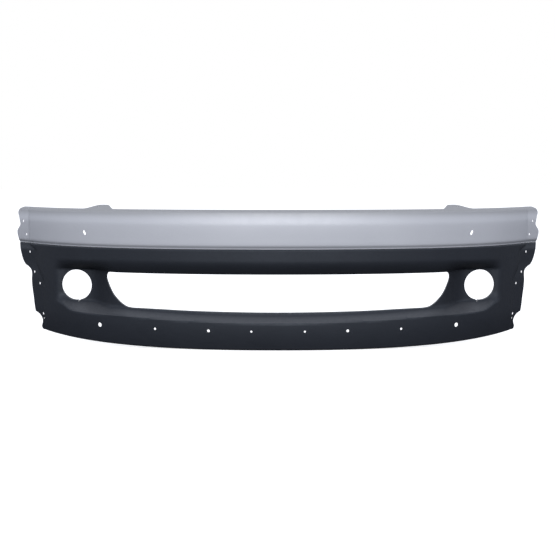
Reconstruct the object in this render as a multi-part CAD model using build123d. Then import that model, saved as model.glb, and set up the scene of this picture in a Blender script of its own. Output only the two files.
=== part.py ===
"""Front bumper cover: a painted upper cover bolted along a seam to a grained lower cover.

Frame: millimetres, X across the car, the front faces -Y, +Z up.  Depths are first measured
from the foremost line of the cover; each piece is shifted to the frame's centre when written.
"""

from build123d import *
import math
import os

# ---- Driving dimensions -------------------------------------------------------------------
WALL = 3.0                  # moulding thickness
STEEPEST_WALL = 2.4         # limit on how much of Y a leaning wall takes up, in wall thicknesses
HALF_REF = 890.0            # half width that the plan curve is stated for
PLAN_BOW = 200.0            # depth of the gentle bow across the front
PLAN_WRAP = 190.0           # extra depth of the wrap towards the wheel arches
SKIN_END = 905.0            # the skins run this far before their ends are trimmed
FRAME_SHIFT_Y = -196.8      # puts the origin under the middle of the cover
FRAME_SHIFT_Z = 5.6         # and level with the lowest point of its lip

SEAM_Z = 308.0              # underside of the upper cover along the seam
SEAM_GAP = 0.4              # clearance between the two mouldings
FLANGE_FOOT_Z = 424.6       # height of the top flange at FLANGE_FOOT_N behind the face
FLANGE_FOOT_N = 12.0
TOP_FLANGE_REAR = 24.0      # depth of the top flange
TOP_FLANGE_RISE = math.tan(math.radians(18.0))

TAB_INNER = 516.0           # roof tabs: inboard foot, outboard foot and their ramps
TAB_OUTER = 625.0
TAB_INNER_RAMP = 27.0
TAB_OUTER_RAMP = 62.0
TAB_REACH = 37.0            # how far the tabs stand behind the top flange
TAB_HOLE_X = 571.0
TAB_HOLE_N = 44.0
TAB_HOLE_RADIUS = 5.0

ARCH_STEP = 6.0             # joggle of the wheel arch flanges
ARCH_EASE = 10.0
ARCH_SLOPE = 0.87           # how fast the wheel arch flanges run rearwards
UPPER_CREASE_X = 829.0
LOWER_CREASE_X = 770.0
CREASE_SWING = 29.0         # the lower crease swings out twice on its way up

LOWER_SETBACK = 4.0         # the lower face lies this far behind the upper one
EDGE_ROUND = 4.0            # how far the lower cover's long edges are rounded back
EDGE_ROUND_HEIGHT = 5.0

LIP_LOW_Z = -5.6            # height of the lower lip at the centre
LIP_RISE = 25.0             # the lower lip climbs this much towards its ends
LIP_HALF = 774.0
LIP_TUCK = 11.0             # the lower face leans back this much at the lip
LIP_RETURN = 36.0           # depth of the turned-in lip

RECESS_DEPTH = 35.0         # scoop that frames the intake and the lamps
RECESS_END = 745.0
RECESS_END_EASE = 50.0
RECESS_TOP_Z = 272.0
RECESS_TOP_EASE = 51.0
RECESS_KNEE = 0.85
RECESS_LOW_Z = 78.0
RECESS_LOW_RISE = 24.0
RECESS_LOW_EASE = 30.0
RECESS_LOW_KNEE = 0.15
RECESS_LOW_REF = 620.0
RECESS_CORNER_X = 660.0     # the scoop's low edge climbs once more at its ends
RECESS_CORNER_EASE = 55.0
RECESS_CORNER_RISE = 18.0
LAMP_ZONE_X = 480.0         # from here on the scoop changes shape towards the lamp
LAMP_ZONE_EASE = 150.0
LAMP_ZONE_TOP_DROP = 6.0
LAMP_ZONE_TOP_TIGHTER = 14.0
LAMP_ZONE_LOW_DROP = 8.0
LAMP_ZONE_LOW_WIDER = 9.0

LAMP_X = 657.0              # fog lamp apertures
LAMP_Z = 178.3
LAMP_RADIUS = 50.0
LAMP_WALL = 3.0
LAMP_FLOOR_Y = 206.0        # depth of the flat that carries a lamp
LAMP_FLOOR_TILT = 0.10
LAMP_FLAT_X = 520.0         # the scoop's floor turns into the flat from here outwards
LAMP_FLAT_EASE = 90.0
LAMP_COLLAR_REAR = 224.0
LAMP_KEY_X = 650.0
LAMP_KEY_HALF = 5.0
LAMP_KEY_LOW_Z = 124.5

INTAKE_TOP_Z = 228.0
INTAKE_LOW_Z = 107.8
INTAKE_RETURN = 17.0        # depth of the walls that line the intake

BOLT_XS = (0.0, 148.0, 296.0, 440.0, 570.0, 680.0, 762.0)
BOLT_N = 25.0               # seam bolts sit this far behind the face
SHELF_REAR = 38.0
PAD_RADIUS = 9.0
PAD_SINK = 1.0
BOLT_RADIUS = 2.5
BOLT_CLEARANCE = 2.8
STRIP_THICK = 1.5
STRIP_FRONT = 16.0
STRIP_REAR = 34.0
STRIP_SPLIT_X = 360.0
STRIP_GAP = 4.0
STRIP_END = 788.0
WASHER_THICK = 1.0
WASHER_RADIUS = 6.5
HEAD_HEIGHT = 3.5
HEX_ACROSS = 8.0
NUT_HEIGHT = 4.0
NUT_FLANGE_RADIUS = 6.0
NUT_FLANGE_HEIGHT = 1.2
SCREW_TAIL = 3.0

GUSSET_XS = (74.0, 222.0, 368.0, 505.0, 626.0, 722.0)
GUSSET_THICK = 2.0
UPPER_WEB = [(11.0, 309.0), (34.0, 309.0), (3.0, 342.0), (3.5, 329.0), (5.0, 320.5), (9.8, 314.4)]
SHELF_END = 806.0

FACE_SLOT_X = 613.8         # slanted oval hole in the painted face
FACE_SLOT_Z = 353.2
FACE_SLOT_RADIUS = 5.0
FACE_SLOT_HALF = 3.6
CORNER_HOLE_X = 836.0       # hole at each end of the top flange
CORNER_HOLE_N = 15.0
CORNER_HOLE_RADIUS = 4.5
UPPER_ARCH_HOLES = ((861.0, 381.0, 4.5), (850.0, 336.5, 4.5))
LOWER_ARCH_HOLES = (
    (838.0, 278.5, 4.5), (819.0, 213.0, 4.5), (796.5, 176.5, 4.5), (786.0, 76.0, 4.5), (785.0, 60.5, 3.6),
)
LIP_HOLES = ((568.0, 61.8, 7.0), (384.5, 58.0, 3.8), (215.5, 56.0, 4.4), (82.5, 55.0, 3.2))

FAR = 400.0                 # reach of cutting tools past the part
TRIM_OUTER_X = 960.0
DRILL_REACH = 30.0          # drills start this far in front of the face


# ---- Curves that the mouldings follow ------------------------------------------------------
def ease(value):
    """Smooth step from 0 to 1 as value goes from 0 to 1."""
    value = min(max(value, 0.0), 1.0)
    return value * value * (3.0 - 2.0 * value)


def roll_in(value, knee):
    """Rise from 0 to 1 that steepens until the knee and then settles quickly."""
    value = min(max(value, 0.0), 1.0)
    if value < knee:
        return value * value / knee
    return 1.0 - (1.0 - value) ** 2 / (1.0 - knee)


def plan_depth(x):
    """Depth of the face behind its foremost line, seen from above."""
    share = abs(x) / HALF_REF
    return PLAN_BOW * share**2 + PLAN_WRAP * share**5


def plan_slope(x):
    share = min(abs(x), UPPER_CREASE_X) / HALF_REF
    return (2.0 * PLAN_BOW * share + 5.0 * PLAN_WRAP * share**4) / HALF_REF


def stretch(x):
    """Depth along Y that one millimetre square to the face takes up."""
    return math.hypot(1.0, plan_slope(x))


def arched_depth(x, crease_x):
    """Plan depth with the joggled wheel arch flange beyond the crease."""
    beyond = abs(x) - crease_x
    if beyond <= 0.0:
        return plan_depth(x)
    return plan_depth(crease_x) + ARCH_SLOPE * beyond + ARCH_STEP * ease(beyond / ARCH_EASE)


def lower_crease_x(z):
    swings = ease((z - 180.0) / 70.0) + ease((z - 284.0) / 20.0)
    return LOWER_CREASE_X + CREASE_SWING * swings


def lip_z(x):
    return LIP_LOW_Z + LIP_RISE * (min(abs(x), LIP_HALF) / LIP_HALF) ** 2.9


def lower_tuck(x, z):
    """How far the lower face lies behind the upper face, square to it."""
    height = z - lip_z(x)
    lean = LIP_TUCK * max(1.0 - height / RECESS_LOW_Z, 0.0) ** 2
    lip_round = EDGE_ROUND * max(1.0 - height / EDGE_ROUND_HEIGHT, 0.0) ** 2
    top_round = EDGE_ROUND * max(1.0 - (SEAM_Z - z) / EDGE_ROUND_HEIGHT, 0.0) ** 2
    return LOWER_SETBACK + lean + lip_round + top_round


def recess_share(x, z):
    """0 on the face, 1 on the floor of the scoop."""
    near_lamp = ease((abs(x) - LAMP_ZONE_X) / LAMP_ZONE_EASE)
    low = RECESS_LOW_Z + RECESS_LOW_RISE * (abs(x) / RECESS_LOW_REF) ** 2
    low -= LAMP_ZONE_LOW_DROP * near_lamp
    low += RECESS_CORNER_RISE * ease((abs(x) - RECESS_CORNER_X) / RECESS_CORNER_EASE)
    top = RECESS_TOP_Z - LAMP_ZONE_TOP_DROP * near_lamp
    low_ease = RECESS_LOW_EASE + LAMP_ZONE_LOW_WIDER * near_lamp
    top_ease = RECESS_TOP_EASE - LAMP_ZONE_TOP_TIGHTER * near_lamp
    from_below = roll_in((z - low) / low_ease, RECESS_LOW_KNEE)
    from_above = roll_in((top - z) / top_ease, RECESS_KNEE)
    from_end = ease((RECESS_END - abs(x)) / RECESS_END_EASE)
    return from_below * from_above * from_end


def recess_floor(x):
    """Depth of the scoop's floor, which flattens where it carries a fog lamp."""
    scoop = plan_depth(x) + LOWER_SETBACK + RECESS_DEPTH
    lamp_flat = LAMP_FLOOR_Y + LAMP_FLOOR_TILT * (abs(x) - LAMP_X)
    blend = ease((abs(x) - LAMP_FLAT_X) / LAMP_FLAT_EASE)
    return scoop + (lamp_flat - scoop) * blend


def lower_depth(x, z):
    """Depth of the lower cover's outer skin."""
    face = arched_depth(x, lower_crease_x(z)) + lower_tuck(x, z) * stretch(x)
    return face + max(recess_floor(x) - face, 0.0) * recess_share(x, z)


def lower_wall(x, z):
    """Depth along Y that the lower skin's wall takes up."""
    step = 1.0
    across = lower_depth(x + step, z) - lower_depth(x - step, z)
    upwards = lower_depth(x, z + step) - lower_depth(x, z - step)
    lean = math.hypot(1.0, across / (2.0 * step), upwards / (2.0 * step))
    return WALL * min(lean, STEEPEST_WALL)


# ---- Solids --------------------------------------------------------------------------------
def steps(start, stop, count):
    return [start + (stop - start) * i / count for i in range(count + 1)]


def mirrored(values):
    """Both signs of each value, in rising order."""
    return [-value for value in reversed(values) if value > 0.0] + list(values)


def section(front, rear):
    """Closed wire across the moulding from its front and rear lines of points."""
    edges = [Edge.make_spline(front), Edge.make_line(front[-1], rear[-1])]
    edges += [Edge.make_spline(rear[::-1]), Edge.make_line(rear[0], front[0])]
    return Wire(edges)


def polygon_wire(points):
    ring = points + points[:1]
    return Wire([Edge.make_line(a, b) for a, b in zip(ring, ring[1:])])


def path_edges(parts):
    """Edges through lists of points in turn: two points make a line and more make a spline."""
    return [Edge.make_spline(part) if len(part) > 2 else Edge.make_line(*part) for part in parts]


def seen_from_front(parts, y_from=-FAR, y_to=2.0 * FAR):
    """Prism along Y whose outline is given by parts of (x, z) points."""
    lifted = [[Vector(x, y_from, z) for x, z in part] for part in parts]
    face = Face(Wire(path_edges(lifted)))
    return Solid.extrude(face, Vector(0, y_to - y_from, 0))


def drill(radius, x, y, z, direction, length):
    """Cylinder that starts at a point and runs along a direction."""
    return Solid.make_cylinder(radius, length, Plane(origin=(x, y, z), z_dir=direction))


def square_to_face(x):
    """Direction out of the face at x, seen from above."""
    slope = math.copysign(plan_slope(x), x)
    return Vector(slope, -1.0, 0.0).normalized()


def face_hole(radius, x, y, z):
    """Tool for a hole square to the face, both ways from a point on it."""
    out = square_to_face(x)
    start = Vector(x, y, z) + out * DRILL_REACH
    return drill(radius, start.X, start.Y, start.Z, -out, 2.0 * DRILL_REACH)


def ribbon(n_front, n_rear, z_low, z_high, x_from, x_to):
    """Flat band that follows the plan curve between two depths."""
    xs = steps(x_from, x_to, max(8, round((x_to - x_from) / 40.0)))
    front = [Vector(x, plan_depth(x) + n_front * stretch(x), z_low) for x in xs]
    rear = [Vector(x, plan_depth(x) + n_rear * stretch(x), z_low) for x in xs]
    return Solid.extrude(Face(section(front, rear)), Vector(0, 0, z_high - z_low))


def both_sides(tool_at):
    """Tools for the right and the left from a function of the side's sign."""
    return [tool_at(1.0), tool_at(-1.0)]


def bolt_places():
    xs = mirrored(list(BOLT_XS))
    return [(x, plan_depth(x) + BOLT_N * stretch(x)) for x in xs]


def upright_discs(radius, z_low, z_high):
    return [drill(radius, x, y, z_low, (0, 0, 1), z_high - z_low) for x, y in bolt_places()]


def gusset(x, corners):
    """Thin web in a plane of constant x, from corners given as depth square to the face and height."""
    places = [(plan_depth(x) + n * stretch(x), z) for n, z in corners]
    face = Face(polygon_wire([Vector(x - GUSSET_THICK / 2.0, y, z) for y, z in places]))
    return Solid.extrude(face, Vector(GUSSET_THICK, 0, 0))


def whole(result):
    """The one solid of a boolean's result, without any crumbs."""
    shapes = result if isinstance(result, (list, tuple)) else [result]
    solids = [solid for shape in shapes for solid in shape.solids()]
    return max(solids, key=lambda solid: solid.bounding_box().size.length)


def joined(base, extras):
    return whole(base.fuse(*extras))


def without(base, tools):
    return whole(base.cut(*tools))


# ---- Upper cover ---------------------------------------------------------------------------
UPPER_PROFILE = (
    (9.6, 423.6), (7.4, 422.3), (5.6, 420.3), (4.5, 417.6), (3.9, 414.0),
    (3.1, 407.0), (2.2, 400.0), (1.3, 393.5), (0.7, 389.0),
    (0.3, 385.0), (0.1, 380.0), (0.1, 374.0), (0.4, 362.0),
    (0.9, 350.0), (1.5, 338.0), (2.0, 329.0), (2.6, 323.0),
    (3.4, 319.6), (4.8, 317.0), (6.8, 315.2), (8.6, 313.4),
    (9.4, 311.4), (9.6, 309.6), (9.6, SEAM_Z),
)


def tab_share(x):
    inboard = ease((abs(x) - TAB_INNER) / TAB_INNER_RAMP)
    outboard = ease((TAB_OUTER - abs(x)) / TAB_OUTER_RAMP)
    return inboard * outboard


def upper_rows(x):
    """Outer points of the upper cover at x, from the rear of the top flange to the seam."""
    base = arched_depth(x, UPPER_CREASE_X)
    rear = TOP_FLANGE_REAR + TAB_REACH * tab_share(x)
    depths = [rear + (FLANGE_FOOT_N - rear) * share for share in (0.0, 0.25, 0.5, 0.75, 1.0)]
    profile = [(n, FLANGE_FOOT_Z + TOP_FLANGE_RISE * (n - FLANGE_FOOT_N)) for n in depths]
    profile += UPPER_PROFILE
    return [Vector(x, base + n * stretch(x), z) for n, z in profile]


def upper_section(x):
    """Section of the upper skin, its wall measured square to the surface."""
    step = 1.0
    front = upper_rows(x)
    across = [b - a for a, b in zip(upper_rows(x - step), upper_rows(x + step))]
    rear = []
    for i, point in enumerate(front):
        along = front[min(i + 1, len(front) - 1)] - front[max(i - 1, 0)]
        normal = across[i].cross(along).normalized()
        in_plane = Vector(0, normal.Y, normal.Z)
        rear.append(point + in_plane * (WALL / (normal.Y**2 + normal.Z**2)))
    return section(front, rear)


def upper_skin():
    columns = steps(0.0, 480.0, 14) + steps(508.0, 636.0, 14) + steps(660.0, 816.0, 6)
    columns += steps(822.0, 842.0, 5) + steps(858.0, SKIN_END, 3)
    return Solid.make_loft([upper_section(x) for x in mirrored(columns)], ruled=True)


UPPER_ARCH_EDGE = (
    (838.0, 440.0), (846.0, 433.5), (857.0, 430.0), (868.0, 427.0), (876.0, 422.5),
    (881.0, 415.0), (882.5, 407.0), (879.5, 398.0),
    (875.0, 381.0), (873.0, 370.0), (878.5, 360.0), (886.5, 349.0), (887.5, 338.0),
    (884.5, 326.0), (882.0, 312.0), (880.5, 300.0),
)


def outside_of(side, *edges):
    """Prism of all that lies outboard of edges that run one after the other."""
    top, bottom = sorted((edges[0][0], edges[-1][-1]), key=lambda point: -point[1])
    corners = [bottom, (TRIM_OUTER_X, bottom[1]), (TRIM_OUTER_X, top[1]), top]
    parts = [*edges, *zip(corners, corners[1:])]
    return seen_from_front([[(side * x, z) for x, z in part] for part in parts])


def upper_arch_trim(side):
    """What lies outside the scalloped wheel arch edge of the upper cover."""
    return outside_of(side, UPPER_ARCH_EDGE)


def face_slot(side):
    """Slanted oval hole in the painted face."""
    x = side * FACE_SLOT_X
    out = square_to_face(x)
    tilt = Vector(side * 0.55, 0.0, 0.83)
    reach = 2.0 * DRILL_REACH
    centre = Vector(x, plan_depth(x), FACE_SLOT_Z) + out * DRILL_REACH
    ends = [centre + tilt * FACE_SLOT_HALF, centre - tilt * FACE_SLOT_HALF]
    holes = [drill(FACE_SLOT_RADIUS, end.X, end.Y, end.Z, -out, reach) for end in ends]
    bridge = Solid.make_box(2.0 * FACE_SLOT_RADIUS, 2.0 * FACE_SLOT_HALF, reach)
    bridge = bridge.moved(Location((-FACE_SLOT_RADIUS, -FACE_SLOT_HALF, 0.0)))
    bridge_frame = Plane(origin=centre, x_dir=tilt.cross(out), z_dir=-out)
    return holes[0].fuse(holes[1], bridge_frame.location * bridge)


def top_hole(radius, x, n):
    """Tool for an upright hole in the top flange or a tab."""
    y = arched_depth(x, UPPER_CREASE_X) + n * stretch(x)
    return drill(radius, x, y, 400.0, (0, 0, 1), 60.0)


def arch_hole(radius, x, z, crease_x):
    y = arched_depth(x, crease_x)
    slope = math.copysign(ARCH_SLOPE, x)
    out = Vector(slope, -1.0, 0.0).normalized()
    start = Vector(x, y, z) + out * DRILL_REACH
    return drill(radius, start.X, start.Y, start.Z, -out, 2.0 * DRILL_REACH)


def upper_gussets():
    """Webs that brace the seam shelf and the top flange from behind."""
    webs = []
    for x in mirrored(GUSSET_XS):
        webs.append(gusset(x, UPPER_WEB))
        webs.append(gusset(x, [(6.0, 402.0), (22.0, 426.0), (7.0, 421.0)]))
    return webs


def upper_cover():
    shelf = ribbon(11.0, SHELF_REAR, SEAM_Z, SEAM_Z + WALL, -SHELF_END, SHELF_END)
    body = joined(upper_skin(), [shelf, *upper_gussets()])
    tools = both_sides(upper_arch_trim) + both_sides(face_slot)
    tools += both_sides(lambda side: top_hole(TAB_HOLE_RADIUS, side * TAB_HOLE_X, TAB_HOLE_N))
    tools += both_sides(lambda side: top_hole(CORNER_HOLE_RADIUS, side * CORNER_HOLE_X, CORNER_HOLE_N))
    for x, z, radius in UPPER_ARCH_HOLES:
        tools += both_sides(lambda side: arch_hole(radius, side * x, z, UPPER_CREASE_X))
    tools += upright_discs(BOLT_CLEARANCE, SEAM_Z - 5.0, SEAM_Z + 10.0)
    return without(body, tools)


# ---- Lower cover ---------------------------------------------------------------------------
def lower_heights(x, z_top):
    low = lip_z(x)
    heights = [low + h for h in (0.0, 1.2, 2.6, 4.4, 8.0, 16.0, 27.0, 40.0, 52.0)]
    heights += steps(max(66.0, low + 58.0), 140.0, 15)
    heights += [155.0, 172.0, 190.0, 206.0]
    heights += steps(214.0, 280.0, 14)
    heights += [287.0, 294.0, 299.0, 302.5, 304.5, 306.0, z_top]
    return heights


def lower_section(x, z_top, front_offset=0.0, wall=None, z_range=None):
    """Section of the lower skin, or of a thicker layer behind it."""
    heights = lower_heights(x, z_top)
    if z_range is not None:
        heights = [z for z in heights if z_range[0] <= z <= z_range[1]]
    front = [Vector(x, lower_depth(x, z) + front_offset, z) for z in heights]
    depth = [lower_wall(x, z) if wall is None else wall for z in heights]
    rear = [point + Vector(0, d - front_offset, 0) for point, d in zip(front, depth)]
    return section(front, rear)


LOWER_COLUMNS = (
    steps(0.0, 480.0, 14) + steps(505.0, 625.0, 12) + steps(640.0, 700.0, 4)
    + steps(705.0, 732.0, 8) + [744.0, 757.0] + steps(766.0, 842.0, 14) + steps(858.0, SKIN_END, 3)
)


def lower_skin():
    z_top = SEAM_Z - SEAM_GAP
    return Solid.make_loft([lower_section(x, z_top) for x in mirrored(LOWER_COLUMNS)], ruled=True)


def layer_behind(xs, z_range, depth):
    """Layer that starts inside the wall of the lower skin and reaches a depth behind it."""
    wires = [lower_section(x, SEAM_Z, 1.0, depth, z_range) for x in xs]
    return Solid.make_loft(wires, ruled=True)


INTAKE_SIDE = (
    (534.0, INTAKE_TOP_Z), (543.5, 224.5), (548.5, 216.0), (549.0, 207.0), (545.5, 196.0),
    (537.5, 179.5), (527.0, 161.0), (512.0, 142.5), (495.0, 127.5), (481.0, 119.5),
    (465.0, 116.3), (439.0, 115.6), (376.0, 114.2), (280.0, 111.2), (140.0, 108.8),
)


def intake_outline(grow=0.0):
    """Outline of the intake, seen from the front, made larger by grow."""
    side = []
    for x, z in INTAKE_SIDE:
        share = (z - 170.0) / 60.0
        side.append((x + grow * ease((x - 300.0) / 240.0), z + grow * max(-1.0, min(1.0, share))))
    around = side + [(0.0, INTAKE_LOW_Z - grow)] + [(-x, z) for x, z in reversed(side)]
    return [around, [around[-1], around[0]]]


def intake_walls():
    xs = [x for x in mirrored(LOWER_COLUMNS) if abs(x) <= 566.0]
    layer = layer_behind(xs, (84.0, 252.0), INTAKE_RETURN)
    ring = seen_from_front(intake_outline(2.5)).cut(seen_from_front(intake_outline()))
    return whole(layer.intersect(ring))


def lamp_collar(side):
    """Ring wall behind the skin that a fog lamp is pushed into."""
    front = LAMP_FLOOR_Y - LAMP_RADIUS
    outer = drill(LAMP_RADIUS + LAMP_WALL, side * LAMP_X, front, LAMP_Z, (0, 1, 0), LAMP_COLLAR_REAR - front)
    xs = [x for x in LOWER_COLUMNS if 585.0 <= x <= 745.0]
    xs = xs if side > 0.0 else [-x for x in reversed(xs)]
    layer = layer_behind(xs, (84.0, 260.0), 60.0)
    return whole(layer.intersect(outer))


def lamp_bore(side):
    """Round lamp hole with its small V notch at the bottom."""
    bore = drill(LAMP_RADIUS, side * LAMP_X, 0.0, LAMP_Z, (0, 1, 0), FAR)
    x = side * LAMP_KEY_X
    inside = LAMP_Z - LAMP_RADIUS + LAMP_KEY_HALF / 2.0
    corners = [(x - LAMP_KEY_HALF, inside), (x + LAMP_KEY_HALF, inside), (x, LAMP_KEY_LOW_Z)]
    key = list(zip(corners, corners[1:] + corners[:1]))
    return bore.fuse(seen_from_front(key, 0.0, FAR))


def lip_return():
    """Turned-in flange along the lower lip."""
    wires = []
    for x in mirrored([x for x in LOWER_COLUMNS if x <= 762.0]):
        s = stretch(x)
        front = plan_depth(x) + (LOWER_SETBACK + LIP_TUCK + EDGE_ROUND + 1.0) * s
        rear = plan_depth(x) + LIP_RETURN * s
        low = lip_z(x)
        corners = [(front, low), (rear, low + 1.5), (rear, low + 1.5 + WALL), (front, low + WALL)]
        wires.append(polygon_wire([Vector(x, y, z) for y, z in corners]))
    return Solid.make_loft(wires, ruled=True)


ARCH_NOTCH = (814.0, 81.0)
LOWER_ARCH_UPPER_EDGE = (
    (880.0, 330.0), (879.5, 310.0), (875.0, 288.0), (870.0, 268.0), (863.0, 249.0),
    (853.5, 236.0), (837.5, 227.0), (828.5, 218.0), (826.0, 208.0), (827.0, 190.0),
    (825.5, 160.0), (821.0, 130.0), (817.5, 100.0), ARCH_NOTCH,
)
LOWER_ARCH_LOWER_EDGE = (
    ARCH_NOTCH, (800.0, 75.0), (791.0, 66.0), (786.0, 54.0), (788.0, 43.0),
    (792.0, 32.0), (789.0, 22.0), (780.0, 16.0), (772.0, 11.0),
)
LOWER_ARCH_FOOT = ((772.0, 11.0), (772.0, -40.0))


def lower_arch_trim(side):
    """What lies outside the notched wheel arch edge of the lower cover."""
    return outside_of(side, LOWER_ARCH_UPPER_EDGE, LOWER_ARCH_LOWER_EDGE, LOWER_ARCH_FOOT)


def lower_gussets():
    """Webs that brace the seam shelf and the lip from behind."""
    webs = []
    for x in mirrored(GUSSET_XS):
        low = lip_z(x)
        webs.append(gusset(x, [(5.8, 305.0), (15.0, 305.0), (5.8, 279.0)]))
        webs.append(gusset(x, [(17.0, low + 2.0), (34.0, low + 2.5), (8.0, low + 38.0)]))
    return webs


def lower_cover():
    shelf_top = SEAM_Z - SEAM_GAP
    shelf = ribbon(9.5, SHELF_REAR, shelf_top - WALL, shelf_top, -SHELF_END, SHELF_END)
    pads = upright_discs(PAD_RADIUS, SEAM_Z - PAD_SINK, SEAM_Z)
    body = joined(lower_skin(), [shelf, lip_return(), *pads, *lower_gussets()])
    body = joined(body, [intake_walls(), *both_sides(lamp_collar)])
    tools = both_sides(lower_arch_trim) + both_sides(lamp_bore)
    tools.append(seen_from_front(intake_outline()))
    for x, z, radius in LIP_HOLES:
        tools += both_sides(lambda side: face_hole(radius, side * x, plan_depth(x), z))
    for x, z, radius in LOWER_ARCH_HOLES:
        tools += both_sides(lambda side: arch_hole(radius, side * x, z, lower_crease_x(z)))
    tools += upright_discs(BOLT_CLEARANCE, SEAM_Z - 10.0, SEAM_Z + 5.0)
    return without(body, tools)


# ---- Seam hardware -------------------------------------------------------------------------
STRIP_TOP_Z = SEAM_Z - SEAM_GAP - WALL
WASHER_TOP_Z = STRIP_TOP_Z - STRIP_THICK
HEAD_TOP_Z = WASHER_TOP_Z - WASHER_THICK
NUT_Z = SEAM_Z + WALL


def seam_retainer(x_from, x_to):
    strip = ribbon(STRIP_FRONT, STRIP_REAR, WASHER_TOP_Z, STRIP_TOP_Z, x_from, x_to)
    return without(strip, upright_discs(BOLT_CLEARANCE, WASHER_TOP_Z - 5.0, STRIP_TOP_Z + 5.0))


def hexagon(x, y, z_low, z_high):
    radius = HEX_ACROSS / math.sqrt(3.0)
    angles = [math.radians(60.0 * i) for i in range(6)]
    corners = [Vector(x + radius * math.cos(a), y + radius * math.sin(a), z_low) for a in angles]
    return Solid.extrude(Face(polygon_wire(corners)), Vector(0, 0, z_high - z_low))


def seam_screw(x, y):
    head = hexagon(x, y, HEAD_TOP_Z - HEAD_HEIGHT, HEAD_TOP_Z)
    length = NUT_Z + NUT_HEIGHT + SCREW_TAIL - HEAD_TOP_Z
    return head.fuse(drill(BOLT_RADIUS, x, y, HEAD_TOP_Z, (0, 0, 1), length))


def seam_washer(x, y):
    disc = drill(WASHER_RADIUS, x, y, HEAD_TOP_Z, (0, 0, 1), WASHER_THICK)
    return disc.cut(drill(BOLT_CLEARANCE, x, y, HEAD_TOP_Z - 5.0, (0, 0, 1), 10.0))


def seam_nut(x, y):
    flange = drill(NUT_FLANGE_RADIUS, x, y, NUT_Z, (0, 0, 1), NUT_FLANGE_HEIGHT)
    nut = flange.fuse(hexagon(x, y, NUT_Z, NUT_Z + NUT_HEIGHT))
    return nut.cut(drill(BOLT_RADIUS, x, y, NUT_Z - 5.0, (0, 0, 1), NUT_HEIGHT + 10.0))


# ---- Writing -------------------------------------------------------------------------------
def write(name, solids):
    shape = Compound(children=list(solids)) if len(solids) > 1 else solids[0]
    placed = shape.moved(Location((0, FRAME_SHIFT_Y, FRAME_SHIFT_Z)))
    export_step(placed, f"parts/{name}.step")


def main():
    os.makedirs("parts", exist_ok=True)
    write("upper_cover", [upper_cover()])
    write("lower_cover", [lower_cover()])
    write("seam_retainer_left", [seam_retainer(-STRIP_END, -STRIP_SPLIT_X - STRIP_GAP)])
    write("seam_retainer_centre", [seam_retainer(-STRIP_SPLIT_X, STRIP_SPLIT_X)])
    write("seam_retainer_right", [seam_retainer(STRIP_SPLIT_X + STRIP_GAP, STRIP_END)])
    write("seam_screws", [seam_screw(x, y) for x, y in bolt_places()])
    write("seam_washers", [seam_washer(x, y) for x, y in bolt_places()])
    write("seam_nuts", [seam_nut(x, y) for x, y in bolt_places()])


if __name__ == "__main__":
    main()
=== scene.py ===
import math
import bmesh
import bpy
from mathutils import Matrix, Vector


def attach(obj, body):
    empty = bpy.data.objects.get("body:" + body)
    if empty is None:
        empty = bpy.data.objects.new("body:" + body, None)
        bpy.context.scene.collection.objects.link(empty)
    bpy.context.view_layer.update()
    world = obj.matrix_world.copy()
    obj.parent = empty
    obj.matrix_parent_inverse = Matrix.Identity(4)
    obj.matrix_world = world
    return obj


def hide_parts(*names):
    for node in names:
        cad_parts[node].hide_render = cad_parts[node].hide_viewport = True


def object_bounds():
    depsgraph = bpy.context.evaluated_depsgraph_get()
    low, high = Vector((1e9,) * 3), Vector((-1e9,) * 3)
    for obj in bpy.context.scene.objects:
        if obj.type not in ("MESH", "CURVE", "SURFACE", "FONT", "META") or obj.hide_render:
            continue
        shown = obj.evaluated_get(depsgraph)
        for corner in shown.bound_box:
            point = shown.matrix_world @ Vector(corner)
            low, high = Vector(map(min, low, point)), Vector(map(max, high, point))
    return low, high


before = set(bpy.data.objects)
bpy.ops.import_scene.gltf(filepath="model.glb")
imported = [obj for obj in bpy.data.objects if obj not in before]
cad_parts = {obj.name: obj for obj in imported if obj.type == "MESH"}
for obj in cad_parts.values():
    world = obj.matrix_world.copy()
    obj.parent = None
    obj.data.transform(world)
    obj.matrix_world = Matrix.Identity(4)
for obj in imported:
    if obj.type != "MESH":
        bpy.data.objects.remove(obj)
cad_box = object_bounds()

# ---- Stage ---------------------------------------------------------------------------------
CAMERA_DISTANCE = 3.0        # from the foremost line of the cover
CAMERA_HEIGHT = 0.5337
CAMERA_PITCH = 5.804         # degrees below level
CAMERA_SIDE = -0.0018
LENS = 64.13
SENSOR = 36.0

FLOOR_RADIUS = 40.0
FLOOR_RINGS = 48
FLOOR_COLOR = (0.90, 0.90, 0.90)
FLOOR_GLOW = 0.62

KEY_ELEVATION = 18.0         # the soft front light, in degrees above level
KEY_DISTANCE = 4.2
KEY_WIDTH = 3.2
KEY_HEIGHT = 1.3
KEY_POWER = 75.0
TOP_HEIGHT = 4.5             # the wide overhead light
TOP_SIZE = 4.0
TOP_POWER = 30.0

# What the object sees around it: (sine of the height above the horizon, brightness).
SURROUNDINGS = (
    (-1.0, 0.13), (-0.6, 0.08), (-0.12, 0.03), (0.02, 0.22),
    (0.16, 0.74), (0.5, 0.74), (0.75, 0.70), (1.0, 0.70),
)
SURROUNDINGS_TINT = (0.95, 0.985, 1.08)
PLASTIC_SHEEN = (0.82, 0.90, 1.0, 1.0)       # colour of the dark plastic's reflections

# ---- Driving dimensions of the two mouldings, in millimetres ----------------------------------
MM = 0.001
WALL = 3.0
STEEPEST_WALL = 2.4
HALF_REF = 890.0
PLAN_BOW = 200.0
PLAN_WRAP = 190.0
SKIN_END = 905.0
SEAM_Z = 308.0
SEAM_GAP = 0.4
SHELF_REAR = 38.0
SHELF_END = 806.0

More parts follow.
